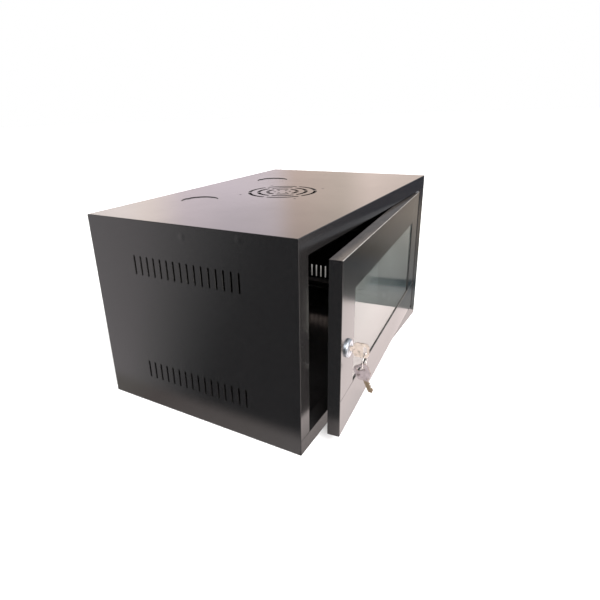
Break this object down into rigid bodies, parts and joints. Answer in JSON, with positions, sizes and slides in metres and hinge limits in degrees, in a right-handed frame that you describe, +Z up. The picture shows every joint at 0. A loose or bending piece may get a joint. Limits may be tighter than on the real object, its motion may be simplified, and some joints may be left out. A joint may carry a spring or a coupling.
{
  "type": "wall-mount network cabinet",
  "caption": "Black sheet-steel wall cabinet for 19-inch network equipment, with a glazed lockable door on side hinges, slotted sides and a fan grille in the top.",
  "frame": {"origin": "centre of the cabinet's underside", "axes": "+X to the right seen from the front, +Y from the door to the rear, +Z up"},
  "size_m": [0.54, 0.4247, 0.3],
  "materials": {
    "shell_paint": "satin black powder coat",
    "rail_paint": "satin black powder coat",
    "door_paint": "satin black powder coat",
    "zinc_steel": "zinc plated",
    "black_screws": "black oxide",
    "lock_chrome": "polished",
    "key_metal": "nickel plated",
    "ring_wire": "nickel plated",
    "fan_plastic": "matt",
    "nylon": "matt",
    "black_rubber": "matt",
    "clear_glass": "clear"
  },
  "bodies": {
    "cabinet": {"left_side_panel": "shell_paint", "right_side_panel": "shell_paint", "top_panel": "shell_paint", "bottom_panel": "shell_paint", "rear_panel": "shell_paint", "left_lower_bar": "shell_paint", "left_upper_bar": "shell_paint", "right_lower_bar": "shell_paint", "right_upper_bar": "shell_paint", "left_rail": "rail_paint", "right_rail": "rail_paint", "rail_bolts": "zinc_steel", "rail_nuts": "zinc_steel", "fan_frame": "fan_plastic", "fan_screws": "black_screws", "hinge_bushes": "nylon", "stop_tabs": "shell_paint", "stop_buffers": "black_rubber", "earth_stud": "zinc_steel", "earth_nut": "zinc_steel"},
    "rotor": {"fan_rotor": "fan_plastic"},
    "door": {"door_leaf": "door_paint", "door_bottom_rail": "door_paint", "door_glass": "clear_glass", "glass_tape": "black_rubber", "glass_clips": "zinc_steel", "clip_studs": "zinc_steel", "clip_nuts": "zinc_steel", "hinge_blocks": "door_paint", "hinge_pins": "zinc_steel", "lock_body": "lock_chrome", "lock_nut": "zinc_steel"},
    "plug": {"lock_plug": "lock_chrome", "lock_cam": "zinc_steel", "cam_screw": "zinc_steel"},
    "key": {"lock_key": "key_metal"},
    "ring": {"key_ring": "ring_wire"},
    "spare": {"spare_key": "key_metal"}
  },
  "joints": [
    {"name": "door_swing", "type": "hinge", "parent": "cabinet", "child": "door", "pos_m": [0.2355, -0.169, 0.15], "axis": [0, 0, 1], "range_deg": [-5, 105]},
    {"name": "lock_turn", "type": "hinge", "parent": "door", "child": "plug", "pos_m": [-0.21271, -0.21775, 0.1466], "axis": [-0.0872, 0.9962, 0], "range_deg": [0, 90]},
    {"name": "key_pull", "type": "slide", "parent": "plug", "child": "key", "axis": [0.0872, -0.9962, 0], "range_m": [0, 0.019]},
    {"name": "ring_swing", "type": "hinge", "parent": "key", "child": "ring", "pos_m": [-0.21105, -0.23668, 0.1418], "axis": [0.9962, 0.0872, 0], "range_deg": [-45, 12]},
    {"name": "spare_swing", "type": "hinge", "parent": "ring", "child": "spare", "pos_m": [-0.21105, -0.23668, 0.1224], "axis": [0.9962, 0.0872, 0], "range_deg": [-25, 12]},
    {"name": "fan_spin", "type": "hinge", "parent": "cabinet", "child": "rotor", "pos_m": [0, 0, 0.2873], "axis": [0, 0, 1], "continuous": true}
  ]
}
